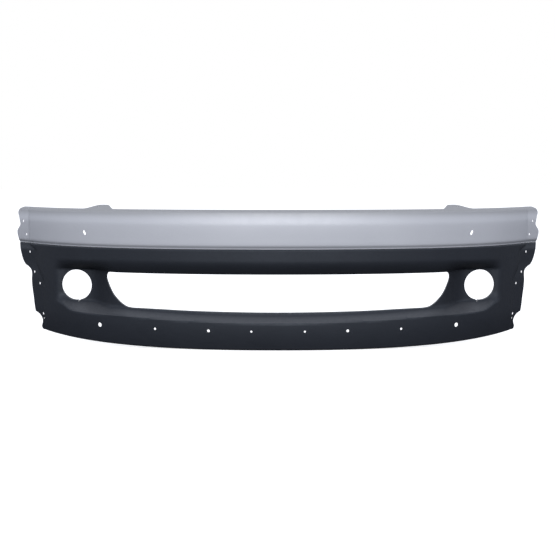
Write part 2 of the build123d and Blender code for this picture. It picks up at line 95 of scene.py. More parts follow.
FLANGE_FOOT_Z = 424.6        # top flange of the upper cover
FLANGE_FOOT_N = 12.0
TOP_FLANGE_REAR = 24.0
TOP_FLANGE_RISE = math.tan(math.radians(18.0))
TAB_INNER = 516.0
TAB_OUTER = 625.0
TAB_INNER_RAMP = 27.0
TAB_OUTER_RAMP = 62.0
TAB_REACH = 37.0
UPPER_PROFILE = (            # depth square to the face and height, from the flange to the seam
    (9.6, 423.6), (7.4, 422.3), (5.6, 420.3), (4.5, 417.6), (3.9, 414.0),
    (3.1, 407.0), (2.2, 400.0), (1.3, 393.5), (0.7, 389.0),
    (0.3, 385.0), (0.1, 380.0), (0.1, 374.0), (0.4, 362.0),
    (0.9, 350.0), (1.5, 338.0), (1.9, 329.0), (2.3, 323.0),
    (2.8, 319.6), (3.8, 317.0), (5.6, 314.8), (7.6, 312.8),
    (9.0, 310.9), (9.5, 309.4), (9.6, SEAM_Z),
)

ARCH_STEP = 6.0              # joggled wheel arch flanges
ARCH_EASE = 10.0
ARCH_SLOPE = 0.87
UPPER_CREASE_X = 829.0
LOWER_CREASE_X = 770.0
CREASE_SWING = 29.0

LOWER_SETBACK = 4.0          # the lower face lies this far behind the upper one
EDGE_ROUND = 4.0
EDGE_ROUND_HEIGHT = 5.0
LIP_LOW_Z = -5.6
LIP_RISE = 25.0
LIP_HALF = 774.0
LIP_TUCK = 11.0
LIP_RETURN = 36.0

RECESS_DEPTH = 35.0          # scoop around the intake and the lamps
RECESS_END = 745.0
RECESS_END_EASE = 50.0
RECESS_TOP_Z = 272.0
RECESS_TOP_EASE = 51.0
RECESS_KNEE = 0.85
RECESS_LOW_Z = 78.0
RECESS_LOW_RISE = 24.0
RECESS_LOW_EASE = 30.0
RECESS_LOW_KNEE = 0.15
RECESS_LOW_REF = 620.0
RECESS_CORNER_X = 660.0
RECESS_CORNER_EASE = 55.0
RECESS_CORNER_RISE = 18.0
LAMP_ZONE_X = 480.0
LAMP_ZONE_EASE = 150.0
LAMP_ZONE_TOP_DROP = 6.0
LAMP_ZONE_TOP_TIGHTER = 14.0
LAMP_ZONE_LOW_DROP = 8.0
LAMP_ZONE_LOW_WIDER = 9.0

LAMP_X = 657.0
LAMP_Z = 178.3
LAMP_RADIUS = 50.0
LAMP_WALL = 3.0
LAMP_FLOOR_Y = 206.0
LAMP_FLOOR_TILT = 0.10
LAMP_FLAT_X = 520.0
LAMP_FLAT_EASE = 90.0
LAMP_COLLAR_REAR = 224.0
LAMP_KEY_X = 650.0
LAMP_KEY_HALF = 5.0
LAMP_KEY_LOW_Z = 124.5

INTAKE_TOP_Z = 228.0
INTAKE_LOW_Z = 107.8
INTAKE_RETURN = 17.0
INTAKE_WALL = 2.5
INTAKE_SIDE = (
    (534.0, INTAKE_TOP_Z), (543.5, 224.5), (548.5, 216.0), (549.0, 207.0), (545.5, 196.0),
    (537.5, 179.5), (527.0, 161.0), (512.0, 142.5), (495.0, 127.5), (481.0, 119.5),
    (465.0, 116.3), (439.0, 115.6), (376.0, 114.2), (280.0, 111.2), (140.0, 108.8),
)

UPPER_ARCH_EDGE = (
    (838.0, 440.0), (846.0, 433.5), (857.0, 430.0), (868.0, 427.0), (876.0, 422.5),
    (881.0, 415.0), (882.5, 407.0), (879.5, 398.0),
    (875.0, 381.0), (873.0, 370.0), (878.5, 360.0), (886.5, 349.0), (887.5, 338.0),
    (884.5, 326.0), (882.0, 312.0), (880.5, 300.0),
)
ARCH_NOTCH = (814.0, 81.0)
LOWER_ARCH_UPPER_EDGE = (
    (880.0, 330.0), (879.5, 310.0), (875.0, 288.0), (870.0, 268.0), (863.0, 249.0),
    (853.5, 236.0), (837.5, 227.0), (828.5, 218.0), (826.0, 208.0), (827.0, 190.0),
    (825.5, 160.0), (821.0, 130.0), (817.5, 100.0), ARCH_NOTCH,
)
LOWER_ARCH_LOWER_EDGE = (
    ARCH_NOTCH, (800.0, 75.0), (791.0, 66.0), (786.0, 54.0), (788.0, 43.0),
    (792.0, 32.0), (789.0, 22.0), (780.0, 16.0), (772.0, 11.0), (772.0, -40.0),
)
TRIM_OUTER_X = 960.0

TAB_HOLE = (571.0, 44.0, 5.0)            # x, depth square to the face, radius
CORNER_HOLE = (836.0, 15.0, 4.5)
FACE_SLOT = (613.8, 353.2, 5.0, 3.6)     # x, z, radius, half the distance between its ends
FACE_SLOT_TILT = (0.55, 0.83)            # outwards and upwards
UPPER_ARCH_HOLES = ((861.0, 381.0, 4.5), (850.0, 336.5, 4.5))
LOWER_ARCH_HOLES = (
    (838.0, 278.5, 4.5), (819.0, 213.0, 4.5), (796.5, 176.5, 4.5), (786.0, 76.0, 4.5), (785.0, 60.5, 3.6),
)
LIP_HOLES = ((568.0, 61.8, 7.0), (384.5, 58.0, 3.8), (215.5, 56.0, 4.4), (82.5, 55.0, 3.2))
BOLT_XS = (0.0, 148.0, 296.0, 440.0, 570.0, 680.0, 762.0)
BOLT_N = 25.0
BOLT_CLEARANCE = 2.8
PAD_RADIUS = 9.0
PAD_SINK = 1.0
GUSSET_XS = (74.0, 222.0, 368.0, 505.0, 626.0, 722.0)
GUSSET_THICK = 2.0
# Corners of the webs, as depth square to the face and height.
UPPER_WEB = [(11.0, 309.0), (34.0, 309.0), (3.0, 342.0), (3.5, 329.0), (5.0, 320.5), (9.8, 314.4)]
FLANGE_WEB = [(6.0, 402.0), (22.0, 426.0), (7.0, 421.0)]
SHELF_WEB = [(5.8, 305.0), (15.0, 305.0), (5.8, 279.0)]
LIP_WEB = [(17.0, 2.0), (34.0, 2.5), (8.0, 38.0)]    # heights above the lip

DRILL_REACH = 30.0           # drills start this far in front of the face
TOP_DRILL_Z = 400.0          # upright drills start here
TOP_DRILL_LENGTH = 60.0
FAR = 400.0
ROUND_SIDES = 40             # sides of round holes and discs
LAMP_SIDES = 96
CURVE_STEPS = 4              # steps between two points of an outline
PROFILE_STEPS = 3
SMOOTH_ANGLE = 28.0

FRONT_Y = cad_box[0].y                       # foremost line of the cover
FOOT_Z = cad_box[0].z - LIP_LOW_Z * MM       # where heights are measured from


def stage_material(name, color, roughness, glow):
    material = bpy.data.materials.new(name)
    material.use_nodes = True
    shader = material.node_tree.nodes["Principled BSDF"]
    shader.inputs["Base Color"].default_value = (*color, 1.0)
    shader.inputs["Roughness"].default_value = roughness
    shader.inputs["Emission Color"].default_value = (1.0, 1.0, 1.0, 1.0)
    shader.inputs["Emission Strength"].default_value = glow
    return material


def make_floor():
    """Round pale floor, seen by the camera but not mirrored in the object."""
    lowest = cad_box[0].z
    corners = [math.tau * i / FLOOR_RINGS for i in range(FLOOR_RINGS)]
    mesh = bpy.data.meshes.new("floor")
    ring = [(FLOOR_RADIUS * math.cos(a), FLOOR_RADIUS * math.sin(a), lowest) for a in corners]
    mesh.from_pydata(ring, [], [tuple(range(FLOOR_RINGS))])
    floor = bpy.data.objects.new("floor", mesh)
    bpy.context.scene.collection.objects.link(floor)
    mesh.materials.append(stage_material("floor", FLOOR_COLOR, 1.0, FLOOR_GLOW))
    floor.visible_diffuse = False
    floor.visible_glossy = False


def make_camera():
    data = bpy.data.cameras.new("camera")
    data.lens = LENS
    data.sensor_width = SENSOR
    camera = bpy.data.objects.new("camera", data)
    bpy.context.scene.collection.objects.link(camera)
    camera.location = (CAMERA_SIDE, cad_box[0].y - CAMERA_DISTANCE, CAMERA_HEIGHT)
    camera.rotation_euler = (math.radians(90.0 - CAMERA_PITCH), 0.0, 0.0)
    bpy.context.scene.camera = camera


def area_light(name, place, target, width, height, power):
    data = bpy.data.lights.new(name, "AREA")
    data.shape = "RECTANGLE"
    data.size = width
    data.size_y = height
    data.energy = power
    light = bpy.data.objects.new(name, data)
    bpy.context.scene.collection.objects.link(light)
    light.location = place
    aim = Vector(target) - Vector(place)
    light.rotation_euler = aim.to_track_quat("-Z", "Y").to_euler()
    return light


def make_lights():
    centre = (cad_box[0] + cad_box[1]) / 2.0
    lift = math.radians(KEY_ELEVATION)
    place = centre + Vector((0.0, -math.cos(lift), math.sin(lift))) * KEY_DISTANCE
    area_light("front_softbox", place, centre, KEY_WIDTH, KEY_HEIGHT, KEY_POWER)
    above = centre + Vector((0.0, 0.0, TOP_HEIGHT))
    area_light("overhead_softbox", above, centre, TOP_SIZE, TOP_SIZE, TOP_POWER)


def make_world():
    """Pale studio surroundings: dim below the horizon, brighter above, white to the camera."""
    world = bpy.data.worlds.new("studio")
    bpy.context.scene.world = world
    world.use_nodes = True
    tree = world.node_tree
    background = tree.nodes["Background"]
    direction = tree.nodes.new("ShaderNodeTexCoord")
    axes = tree.nodes.new("ShaderNodeSeparateXYZ")
    height = tree.nodes.new("ShaderNodeMapRange")
    height.inputs["From Min"].default_value = -1.0
    ramp = tree.nodes.new("ShaderNodeValToRGB")
    stops = [((sine + 1.0) / 2.0, level) for sine, level in SURROUNDINGS]
    ramp.color_ramp.elements[0].position = stops[0][0]
    ramp.color_ramp.elements[1].position = stops[-1][0]
    for position, _ in stops[1:-1]:
        ramp.color_ramp.elements.new(position)
    for element, (_, level) in zip(ramp.color_ramp.elements, stops):
        element.color = (*[level * tint for tint in SURROUNDINGS_TINT], 1.0)
    camera_ray = tree.nodes.new("ShaderNodeLightPath")
    seen = tree.nodes.new("ShaderNodeMix")
    seen.data_type = "RGBA"
    seen.inputs["B"].default_value = (1.0, 1.0, 1.0, 1.0)
    tree.links.new(direction.outputs["Generated"], axes.inputs["Vector"])
    tree.links.new(axes.outputs["Z"], height.inputs["Value"])
    tree.links.new(height.outputs["Result"], ramp.inputs["Fac"])
    tree.links.new(ramp.outputs["Color"], seen.inputs[6])
    tree.links.new(camera_ray.outputs["Is Camera Ray"], seen.inputs["Factor"])
    tree.links.new(seen.outputs[2], background.inputs["Color"])


# ---- Materials -----------------------------------------------------------------------------
class Nodes:
    """Short forms for building a material's node tree."""

    def __init__(self, name):
        self.material = bpy.data.materials.new(name)
        self.material.use_nodes = True
        self.tree = self.material.node_tree
        self.shader = self.tree.nodes["Principled BSDF"]
        self.place = self.tree.nodes.new("ShaderNodeTexCoord").outputs["Object"]

    def link(self, output, target):
        self.tree.links.new(output, target)

    def stretched(self, scale):
        """The place with each axis scaled, for grain that runs one way."""
        mapping = self.tree.nodes.new("ShaderNodeMapping")
        mapping.inputs["Scale"].default_value = scale
        self.link(self.place, mapping.inputs["Vector"])
        return mapping.outputs["Vector"]

    def noise(self, scale, detail=2.0, roughness=0.5, vector=None):
        node = self.tree.nodes.new("ShaderNodeTexNoise")
        node.inputs["Scale"].default_value = scale
        node.inputs["Detail"].default_value = detail
        node.inputs["Roughness"].default_value = roughness
        self.link(vector or self.place, node.inputs["Vector"])
        return node.outputs["Fac"]

    def cells(self, scale):
        node = self.tree.nodes.new("ShaderNodeTexVoronoi")
        node.inputs["Scale"].default_value = scale
        self.link(self.place, node.inputs["Vector"])
        return node.outputs["Distance"]

    def spread(self, value, low, high, from_low=0.3, from_high=0.7):
        """A value taken from one range to another."""
        node = self.tree.nodes.new("ShaderNodeMapRange")
        node.inputs["From Min"].default_value = from_low
        node.inputs["From Max"].default_value = from_high
        node.inputs["To Min"].default_value = low
        node.inputs["To Max"].default_value = high
        self.link(value, node.inputs["Value"])
        return node.outputs["Result"]

    def blend(self, share, first, second):
        """A colour between two, each a colour or an output."""
        node = self.tree.nodes.new("ShaderNodeMix")
        node.data_type = "RGBA"
        for index, color in ((6, first), (7, second)):
            if isinstance(color, tuple):
                node.inputs[index].default_value = (*color, 1.0)
            else:
                self.link(color, node.inputs[index])
        self.link(share, node.inputs["Factor"])
        return node.outputs[2]

    def edges(self, low, high):
        """0 on open surfaces and 1 on sharp outer edges."""
        geometry = self.tree.nodes.new("ShaderNodeNewGeometry")
        return self.spread(geometry.outputs["Pointiness"], 0.0, 1.0, low, high)

    def height(self, low, high, power):
        """0 up to one height and 1 from another, with a curve between them."""
        axes = self.tree.nodes.new("ShaderNodeSeparateXYZ")
        self.link(self.place, axes.inputs["Vector"])
        curve = self.tree.nodes.new("ShaderNodeMath")
        curve.operation = "POWER"
        curve.inputs[1].default_value = power
        self.link(self.spread(axes.outputs["Z"], 0.0, 1.0, low, high), curve.inputs[0])
        return curve.outputs["Value"]

    def upward(self, low, high):
        """0 where the surface looks sideways or down and 1 where it looks up."""
        axes = self.tree.nodes.new("ShaderNodeSeparateXYZ")
        self.link(self.tree.nodes.new("ShaderNodeNewGeometry").outputs["Normal"], axes.inputs["Vector"])
        return self.spread(axes.outputs["Z"], 0.0, 1.0, low, high)

    def bump(self, height, strength, distance, under=None):
        node = self.tree.nodes.new("ShaderNodeBump")
        node.inputs["Strength"].default_value = strength
        node.inputs["Distance"].default_value = distance
        self.link(height, node.inputs["Height"])
        if under is not None:
            self.link(under, node.inputs["Normal"])
        return node.outputs["Normal"]

    def finish(self, color, roughness, normal, **sockets):
        self.link(color, self.shader.inputs["Base Color"])
        self.link(roughness, self.shader.inputs["Roughness"])
        self.link(normal, self.shader.inputs["Normal"])
        for name, value in sockets.items():
            self.shader.inputs[name.replace("_", " ")].default_value = value
        return self.material


def painted_silver():
    """Satin silver-grey coat with fine flake, faint clouding and orange peel, with painted shade along the
    top edge and a painted highlight on sharp edges.
    """
    n = Nodes("painted_silver")
    clouds = n.spread(n.noise(5.0, 3.0), 0.0, 1.0)
    flake = n.spread(n.noise(2600.0, 1.0), 0.0, 1.0)
    body = n.blend(clouds, (0.585, 0.605, 0.665), (0.625, 0.645, 0.705))
    coat = n.blend(n.spread(flake, 0.0, 0.35, 0.0, 1.0), body, (0.72, 0.73, 0.77))
    top = FOOT_Z + FLANGE_FOOT_Z * MM
    # Painted shade: the colour darkens towards the top flange, where the rolled top edge faces up.
    top_edge_painted_shade = n.blend(n.height(top - 0.031, top - 0.001, 2.0), coat, (0.30, 0.305, 0.32))
    # Painted highlight: sharp outer edges are blended towards a lighter grey.
    color = n.blend(n.edges(0.53, 0.62), top_edge_painted_shade, (0.70, 0.71, 0.74))
    roughness = n.spread(n.noise(60.0, 4.0), 0.42, 0.52)
    peel = n.bump(n.noise(330.0, 2.0), 0.10, 0.0006)
    normal = n.bump(flake, 0.03, 0.0001, peel)
    return n.finish(color, roughness, normal, Metallic=0.12, Coat_Weight=0.20, Coat_Roughness=0.30)


def grained_plastic():
    """Dark blue-grey moulded plastic with a fine leather-like grain, with painted light on up-facing
    surfaces and a painted highlight on sharp edges.
    """
    n = Nodes("grained_plastic")
    clouds = n.spread(n.noise(7.0, 4.0), 0.0, 1.0)
    grain = n.cells(950.0)
    body = n.blend(clouds, (0.014, 0.0165, 0.023), (0.019, 0.022, 0.030))
    speckled = n.blend(n.spread(grain, 0.0, 0.5, 0.1, 0.7), body, (0.028, 0.031, 0.040))
    # Painted light: surfaces that face up are blended lighter, as if lit from above.
    up_faces_painted_light = n.blend(n.upward(0.62, 0.92), speckled, (0.070, 0.074, 0.084))
    # Painted highlight: sharp outer edges are blended towards a lighter grey.
    color = n.blend(n.edges(0.53, 0.64), up_faces_painted_light, (0.060, 0.063, 0.072))
    roughness = n.spread(n.noise(90.0, 5.0), 0.46, 0.60)
    waves = n.bump(n.noise(45.0, 2.0), 0.05, 0.0015)
    normal = n.bump(grain, 0.35, 0.00035, waves)
    return n.finish(color, roughness, normal, Specular_IOR_Level=0.45, Specular_Tint=PLASTIC_SHEEN)


def rolled_steel():
    """Zinc plated strip with long rolling marks."""
    n = Nodes("plated_steel")
    marks = n.noise(1.0, 4.0, 0.6, n.stretched((14.0, 900.0, 900.0)))
    spangle = n.spread(n.cells(160.0), 0.0, 1.0, 0.1, 0.8)
    body = n.blend(spangle, (0.50, 0.50, 0.49), (0.62, 0.62, 0.60))
    color = n.blend(n.spread(n.noise(30.0, 4.0), 0.0, 0.5), body, (0.42, 0.41, 0.38))
    roughness = n.spread(marks, 0.30, 0.46)
    return n.finish(color, roughness, n.bump(marks, 0.12, 0.0002), Metallic=1.0)


def fastener_steel():
    """Passivated zinc on small turned parts, faintly yellow, with a painted highlight on sharp edges."""
    n = Nodes("fastener_steel")
    tint = n.spread(n.noise(140.0, 3.0), 0.0, 1.0)
    body = n.blend(tint, (0.60, 0.56, 0.44), (0.66, 0.63, 0.54))
    # Painted highlight: sharp outer edges are blended towards a pale steel colour.
    color = n.blend(n.edges(0.54, 0.66), body, (0.80, 0.79, 0.75))
    roughness = n.spread(n.noise(700.0, 3.0), 0.24, 0.40)
    return n.finish(color, roughness, n.bump(n.noise(1400.0, 2.0), 0.10, 0.0001), Metallic=1.0)


# ---- Curves that the mouldings follow ------------------------------------------------------
def ease(value):
    """Smooth step from 0 to 1 as value goes from 0 to 1."""
    value = min(max(value, 0.0), 1.0)
    return value * value * (3.0 - 2.0 * value)


def roll_in(value, knee):
    """Rise from 0 to 1 that steepens until the knee and then settles quickly."""
    value = min(max(value, 0.0), 1.0)
    if value < knee:
        return value * value / knee
    return 1.0 - (1.0 - value) ** 2 / (1.0 - knee)


def plan_depth(x):
    """Depth of the face behind its foremost line, seen from above."""
    share = abs(x) / HALF_REF
    return PLAN_BOW * share**2 + PLAN_WRAP * share**5


def plan_slope(x):
    share = min(abs(x), UPPER_CREASE_X) / HALF_REF
    return (2.0 * PLAN_BOW * share + 5.0 * PLAN_WRAP * share**4) / HALF_REF


def stretch(x):
    """Depth along Y that one millimetre square to the face takes up."""
    return math.hypot(1.0, plan_slope(x))


def arched_depth(x, crease_x):
    """Plan depth with the joggled wheel arch flange beyond the crease."""
    beyond = abs(x) - crease_x
    if beyond <= 0.0:
        return plan_depth(x)
    return plan_depth(crease_x) + ARCH_SLOPE * beyond + ARCH_STEP * ease(beyond / ARCH_EASE)


def lower_crease_x(z):
    swings = ease((z - 180.0) / 70.0) + ease((z - 284.0) / 20.0)
    return LOWER_CREASE_X + CREASE_SWING * swings


def lip_z(x):
    return LIP_LOW_Z + LIP_RISE * (min(abs(x), LIP_HALF) / LIP_HALF) ** 2.9


def lower_tuck(x, z):
    """How far the lower face lies behind the upper face, square to it."""
    height = z - lip_z(x)
    lean = LIP_TUCK * max(1.0 - height / RECESS_LOW_Z, 0.0) ** 2
    lip_round = EDGE_ROUND * max(1.0 - height / EDGE_ROUND_HEIGHT, 0.0) ** 2
    top_round = EDGE_ROUND * max(1.0 - (SEAM_Z - z) / EDGE_ROUND_HEIGHT, 0.0) ** 2
    return LOWER_SETBACK + lean + lip_round + top_round


def recess_share(x, z):
    """0 on the face, 1 on the floor of the scoop."""
    near_lamp = ease((abs(x) - LAMP_ZONE_X) / LAMP_ZONE_EASE)
    low = RECESS_LOW_Z + RECESS_LOW_RISE * (abs(x) / RECESS_LOW_REF) ** 2
    low -= LAMP_ZONE_LOW_DROP * near_lamp
    low += RECESS_CORNER_RISE * ease((abs(x) - RECESS_CORNER_X) / RECESS_CORNER_EASE)
    top = RECESS_TOP_Z - LAMP_ZONE_TOP_DROP * near_lamp
    low_ease = RECESS_LOW_EASE + LAMP_ZONE_LOW_WIDER * near_lamp
    top_ease = RECESS_TOP_EASE - LAMP_ZONE_TOP_TIGHTER * near_lamp
    from_below = roll_in((z - low) / low_ease, RECESS_LOW_KNEE)
    from_above = roll_in((top - z) / top_ease, RECESS_KNEE)
    from_end = ease((RECESS_END - abs(x)) / RECESS_END_EASE)
    return from_below * from_above * from_end


def recess_floor(x):
    """Depth of the scoop's floor, which flattens where it carries a fog lamp."""
    scoop = plan_depth(x) + LOWER_SETBACK + RECESS_DEPTH
    lamp_flat = LAMP_FLOOR_Y + LAMP_FLOOR_TILT * (abs(x) - LAMP_X)
    return scoop + (lamp_flat - scoop) * ease((abs(x) - LAMP_FLAT_X) / LAMP_FLAT_EASE)


def lower_depth(x, z):
    """Depth of the lower cover's outer skin."""
    face = arched_depth(x, lower_crease_x(z)) + lower_tuck(x, z) * stretch(x)
    return face + max(recess_floor(x) - face, 0.0) * recess_share(x, z)


def lower_wall(x, z):
    """Depth along Y that the lower skin's wall takes up."""
    across = lower_depth(x + 1.0, z) - lower_depth(x - 1.0, z)
    upwards = lower_depth(x, z + 1.0) - lower_depth(x, z - 1.0)
    lean = math.hypot(1.0, across / 2.0, upwards / 2.0)
    return WALL * min(lean, STEEPEST_WALL)


def tab_share(x):
    inboard = ease((abs(x) - TAB_INNER) / TAB_INNER_RAMP)
    outboard = ease((TAB_OUTER - abs(x)) / TAB_OUTER_RAMP)
    return inboard * outboard


def through(points, count):
    """Smooth curve through points, with count steps between each two."""
    vectors = [Vector(p) for p in points]
    gaps = [(b - a).length for a, b in zip(vectors, vectors[1:])]
    slopes = [(b - a) / gap for a, b, gap in zip(vectors, vectors[1:], gaps)]
    tangents = [slopes[0]]
    for i in range(1, len(slopes)):
        before, after = gaps[i - 1], gaps[i]
        tangents.append((slopes[i - 1] * after + slopes[i] * before) / (before + after))
    tangents.append(slopes[-1])
    curve = []
    for i, gap in enumerate(gaps):
        for k in range(count):
            t = k / count
            curve.append(
                vectors[i] * (1.0 + 2.0 * t) * (1.0 - t) ** 2
                + tangents[i] * gap * t * (1.0 - t) ** 2
                + vectors[i + 1] * t * t * (3.0 - 2.0 * t)
                + tangents[i + 1] * gap * t * t * (t - 1.0)
            )
    return curve + [vectors[-1]]


# ---- Solids as lists of points and faces ---------------------------------------------------
def steps(start, stop, count):
    return [start + (stop - start) * i / count for i in range(count + 1)]


def mirrored(values):
    """Both signs of each value, in rising order."""
    return [-value for value in reversed(values) if value > 0.0] + list(values)


def shell(outer, inner):
    """Closed wall between two grids of points, each a list of columns."""
    columns, rows = len(outer), len(outer[0])
    points = [point for column in outer + inner for point in column]

    def at(layer, i, j):
        return (layer * columns + i) * rows + j

    faces = []
    for i in range(columns - 1):
        for j in range(rows - 1):
            for layer in (0, 1):
                near = (at(layer, i, j), at(layer, i + 1, j))
                faces.append((*near, at(layer, i + 1, j + 1), at(layer, i, j + 1)))
        for j in (0, rows - 1):
            faces.append((at(0, i, j), at(0, i + 1, j), at(1, i + 1, j), at(1, i, j)))
    for j in range(rows - 1):
        for i in (0, columns - 1):
            faces.append((at(0, i, j), at(0, i, j + 1), at(1, i, j + 1), at(1, i, j)))
    return points, faces


def swept(loops):
    """Closed solid through loops of points, with a flat end at each side."""
    count = len(loops[0])
    points = [point for loop in loops for point in loop]
    faces = [tuple(range(count)), tuple(range(len(points) - count, len(points)))]
    for first in range(0, len(points) - count, count):
        for i in range(count):
            a, b = first + i, first + (i + 1) % count
            faces.append((a, b, b + count, a + count))
    return points, faces


def ring(sections):
    """Closed ring through sections of points."""
    count = len(sections[0])
    points = [point for section in sections for point in section]
    faces = []
    for i in range(len(sections)):
        for k in range(count):
            a, b = i * count + k, i * count + (k + 1) % count
            step = ((i + 1) % len(sections) - i) * count
            faces.append((a, b, b + step, a + step))
    return points, faces


def drill(radius, start, direction, length, sides=ROUND_SIDES):
    """Cylinder from a point along a direction."""
    start = Vector(start)
    direction = Vector(direction).normalized()
    across = direction.orthogonal().normalized()
    other = direction.cross(across)
    angles = [math.tau * i / sides for i in range(sides)]
    circle = [start + (across * math.cos(a) + other * math.sin(a)) * radius for a in angles]
    return swept([circle, [point + direction * length for point in circle]])


def prism(outline, y_from, y_to):
    """Prism along Y from an outline of (x, z) points."""
    return swept([[(x, y, z) for x, z in outline] for y in (y_from, y_to)])


def ribbon(n_front, n_rear, z_low, z_high, end):
    """Flat band that follows the plan curve between two depths."""
    loops = []
    for x in steps(-end, end, 240):
        front = plan_depth(x) + n_front * stretch(x)
        rear = plan_depth(x) + n_rear * stretch(x)
        loops.append([(x, front, z_low), (x, rear, z_low), (x, rear, z_high), (x, front, z_high)])
    return swept(loops)


def gusset(x, corners):
    """Thin web in a plane of constant x, from depths square to the face and heights."""
    places = [(plan_depth(x) + n * stretch(x), z) for n, z in corners]
    half = GUSSET_THICK / 2.0
    return swept([[(side, y, z) for y, z in places] for side in (x - half, x + half)])


def combined(solids):
    """Several solids that stay clear of each other, as one list of points and faces."""
    points, faces = [], []
    for solid_points, solid_faces in solids:
        faces += [tuple(len(points) + i for i in face) for face in solid_faces]
        points += solid_points
    return points, faces


def make_object(name, solid):
    """Mesh object of a solid, with its faces turned outwards."""
    points, faces = solid
    mesh = bpy.data.meshes.new(name)
    mesh.from_pydata([(x * MM, y * MM + FRONT_Y, z * MM + FOOT_Z) for x, y, z in points], [], faces)
    work = bmesh.new()
    work.from_mesh(mesh)
    bmesh.ops.recalc_face_normals(work, faces=work.faces)
    work.to_mesh(mesh)
    work.free()
    made = bpy.data.objects.new(name, mesh)
    bpy.context.scene.collection.objects.link(made)
    return made


def boolean(base, operation, solids):
    """The base with solids joined to it or cut out of it."""
    tool = make_object("tool", combined(solids))
    modifier = base.modifiers.new("boolean", "BOOLEAN")
    modifier.operation = operation
    modifier.solver = "MANIFOLD"
    modifier.object = tool
    result = bpy.data.meshes.new_from_object(base.evaluated_get(bpy.context.evaluated_depsgraph_get()))
    base.modifiers.remove(modifier)
    base.data = result
    bpy.data.objects.remove(tool)


# ---- Tools that cut the mouldings ----------------------------------------------------------
def both_sides(tool_at):
    """Tools for the right and the left from a function of the side's sign."""
    return [tool_at(1.0), tool_at(-1.0)]


def face_hole(radius, x, z):
    """Drill square to the face."""
    out = Vector((math.copysign(plan_slope(x), x), -1.0, 0.0)).normalized()
    start = Vector((x, plan_depth(x), z)) + out * DRILL_REACH
    return drill(radius, start, -out, 2.0 * DRILL_REACH)


def arch_hole(radius, x, z, crease_x):
    """Drill square to a wheel arch flange."""
    out = Vector((math.copysign(ARCH_SLOPE, x), -1.0, 0.0)).normalized()
    start = Vector((x, arched_depth(x, crease_x), z)) + out * DRILL_REACH
    return drill(radius, start, -out, 2.0 * DRILL_REACH)


def top_hole(x, n, radius):
    """Upright drill through the top flange."""
    y = arched_depth(x, UPPER_CREASE_X) + n * stretch(x)
    return drill(radius, (x, y, TOP_DRILL_Z), (0.0, 0.0, 1.0), TOP_DRILL_LENGTH)


def face_slot(side):
    """Slanted oval hole in the painted face."""
    x, z, radius, half = FACE_SLOT
    x *= side
    out = Vector((math.copysign(plan_slope(x), x), -1.0, 0.0)).normalized()
    outwards, rise = FACE_SLOT_TILT
    tilt = Vector((side * outwards, 0.0, rise))
    across = tilt.cross(out).normalized()
    upwards = out.cross(across)
    centre = Vector((x, plan_depth(x), z)) + out * DRILL_REACH
    oval = []
    for i in range(ROUND_SIDES):
        angle = math.tau * (i + 0.5) / ROUND_SIDES
        end = math.copysign(half, math.sin(angle))
        oval.append(centre + across * radius * math.cos(angle) + upwards * (radius * math.sin(angle) + end))
    return swept([oval, [point - out * 2.0 * DRILL_REACH for point in oval]])


def outside_of(side, edge, low_z):
    """Prism of all that lies outboard of an edge."""
    corners = [(TRIM_OUTER_X, low_z), (TRIM_OUTER_X, edge[0][1])]
    return prism([(side * x, z) for x, z in [*edge, *corners]], -FAR, 2.0 * FAR)


def bolts(radius, z_low, z_high):
    """Upright discs or drills at the places of the seam bolts."""
    made = []
    for x in mirrored(list(BOLT_XS)):
        y = plan_depth(x) + BOLT_N * stretch(x)
        made.append(drill(radius, (x, y, z_low), (0.0, 0.0, 1.0), z_high - z_low))
    return made


# ---- Upper cover ---------------------------------------------------------------------------
def skin_columns():
    return mirrored(steps(0.0, 480.0, 96) + steps(483.5, 738.5, 73) + steps(741.0, SKIN_END, 66))


def upper_rows(x):
    """Outer points of the upper cover at x, from the rear of the top flange to the seam."""
    base = arched_depth(x, UPPER_CREASE_X)
    rear = TOP_FLANGE_REAR + TAB_REACH * tab_share(x)
    depths = [rear + (FLANGE_FOOT_N - rear) * share for share in (0.0, 0.25, 0.5, 0.75, 1.0)]
    profile = [(n, FLANGE_FOOT_Z + TOP_FLANGE_RISE * (n - FLANGE_FOOT_N)) for n in depths]
    profile = through([*profile, *UPPER_PROFILE], PROFILE_STEPS)
    return [Vector((x, base + n * stretch(x), z)) for n, z in profile]


def upper_inner(x, front):
    """Inner points of the wall, its thickness measured square to the surface."""
    across = [b - a for a, b in zip(upper_rows(x - 1.0), upper_rows(x + 1.0))]
    rear = []
    for i, point in enumerate(front):
        along = front[min(i + 1, len(front) - 1)] - front[max(i - 1, 0)]
        normal = across[i].cross(along).normalized()
        in_plane = Vector((0.0, normal.y, normal.z))
        rear.append(point + in_plane * (WALL / in_plane.length_squared))
    return rear


def upper_cover():
    xs = skin_columns()
    outer = [upper_rows(x) for x in xs]
    inner = [upper_inner(x, front) for x, front in zip(xs, outer)]
    cover = make_object("upper_cover_shell", shell(outer, inner))
    boolean(cover, "UNION", [ribbon(11.0, SHELF_REAR, SEAM_Z, SEAM_Z + WALL, SHELF_END)])
    webs = []
    for x in mirrored(list(GUSSET_XS)):
        webs.append(gusset(x, UPPER_WEB))
        webs.append(gusset(x, FLANGE_WEB))
    boolean(cover, "UNION", webs)
    edge = through(UPPER_ARCH_EDGE, CURVE_STEPS)
    holes = both_sides(face_slot) + bolts(BOLT_CLEARANCE, SEAM_Z - 5.0, SEAM_Z + 10.0)
    for x, n, radius in (TAB_HOLE, CORNER_HOLE):
        holes += both_sides(lambda side: top_hole(side * x, n, radius))
    for x, z, radius in UPPER_ARCH_HOLES:
        holes += both_sides(lambda side: arch_hole(radius, side * x, z, UPPER_CREASE_X))
    boolean(cover, "DIFFERENCE", both_sides(lambda side: outside_of(side, edge, edge[-1][1])))
    boolean(cover, "DIFFERENCE", holes)
    return cover


